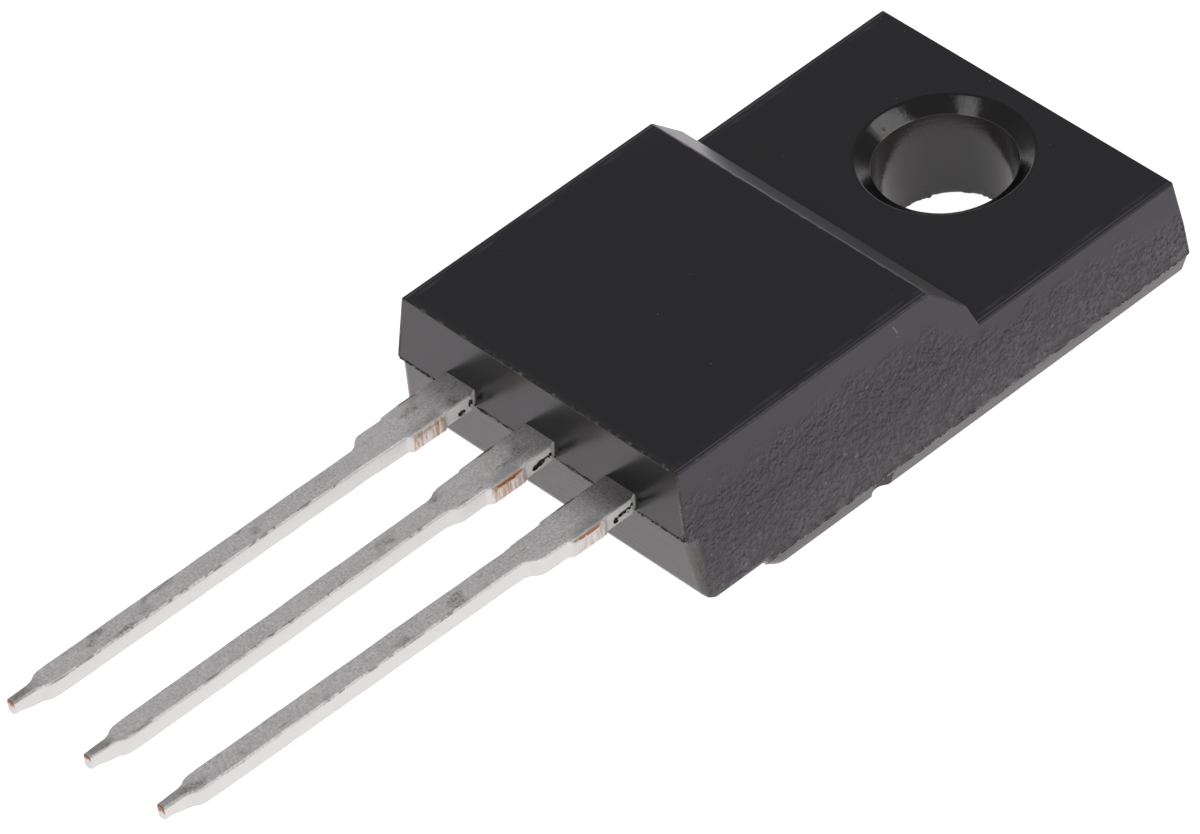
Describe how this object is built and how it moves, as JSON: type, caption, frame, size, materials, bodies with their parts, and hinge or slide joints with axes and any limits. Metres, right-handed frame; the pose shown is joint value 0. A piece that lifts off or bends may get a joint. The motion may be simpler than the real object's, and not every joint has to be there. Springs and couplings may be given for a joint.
{
  "type": "power transistor",
  "caption": "Fully moulded power transistor: a stepped black block with a screw hole in its thin tab and flat tin-plated leads in a row at the other end.",
  "frame": {"origin": "on the screw hole's axis, in the plane of the back face that lies on the heat sink", "axes": "+Z out of the label face, along the screw hole; +Y from the leads to the end of the tab; +X across the width, from the base lead to the emitter lead"},
  "size_m": [0.0102, 0.0295, 0.0043],
  "materials": {
    "epoxy": "satin moulding compound, slightly rough on the walls",
    "tinned_copper": "matte tin over stamped copper",
    "frame_copper": "tinned outside the body, bare copper inside it",
    "silicon": "polished",
    "solder": "dull",
    "bond_wire": "bright"
  },
  "bodies": {
    "root": {"moulded_body": "epoxy", "base_lead": "tinned_copper", "collector_lead": "frame_copper", "emitter_lead": "tinned_copper", "transistor_chip": "silicon", "chip_solder": "solder", "base_wire": "bond_wire", "emitter_wire": "bond_wire"}
  },
  "joints": []
}
